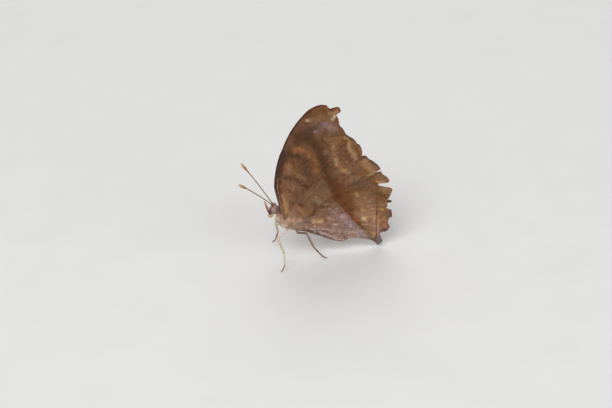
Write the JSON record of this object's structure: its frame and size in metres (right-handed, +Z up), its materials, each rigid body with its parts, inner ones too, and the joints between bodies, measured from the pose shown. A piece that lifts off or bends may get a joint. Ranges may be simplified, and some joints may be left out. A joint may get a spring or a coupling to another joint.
{
  "type": "chocolate pansy butterfly model",
  "caption": "Life-size still model of a brown leaf-like butterfly standing on its legs with its wings closed over its back and its feelers spread.",
  "frame": {"origin": "centre of the footprint box, on the floor that the feet rest on", "axes": "+Z up; the head faces -X; the left side, which the picture shows, is at -Y"},
  "size_m": [0.0376, 0.0158, 0.0376],
  "materials": {
    "wing_scales": "matt dust of overlapping scales in browns, with a faint lilac bloom",
    "body_fur": "short soft hair scales, pinkish tan above and cream below",
    "eye_facets": "glossy, finely faceted and dusky",
    "palp_scales": "bristly flat scales, reddish brown",
    "proboscis_amber": "smooth horny amber tube",
    "antenna_shaft": "fine satin segments with an orange-brown club",
    "leg_scales": "satin cream scales, browner at the feet"
  },
  "bodies": {
    "root": {"head": "body_fur", "thorax": "body_fur", "abdomen": "body_fur", "eye_left": "eye_facets", "eye_right": "eye_facets", "palp_left": "palp_scales", "palp_right": "palp_scales", "proboscis": "proboscis_amber", "antenna_left": "antenna_shaft", "antenna_right": "antenna_shaft", "forewing_left": "wing_scales", "forewing_right": "wing_scales", "hindwing_left": "wing_scales", "hindwing_right": "wing_scales", "foreleg_left": "leg_scales", "foreleg_right": "leg_scales", "midleg_left": "leg_scales", "midleg_right": "leg_scales", "hindleg_left": "leg_scales", "hindleg_right": "leg_scales"}
  },
  "joints": []
}
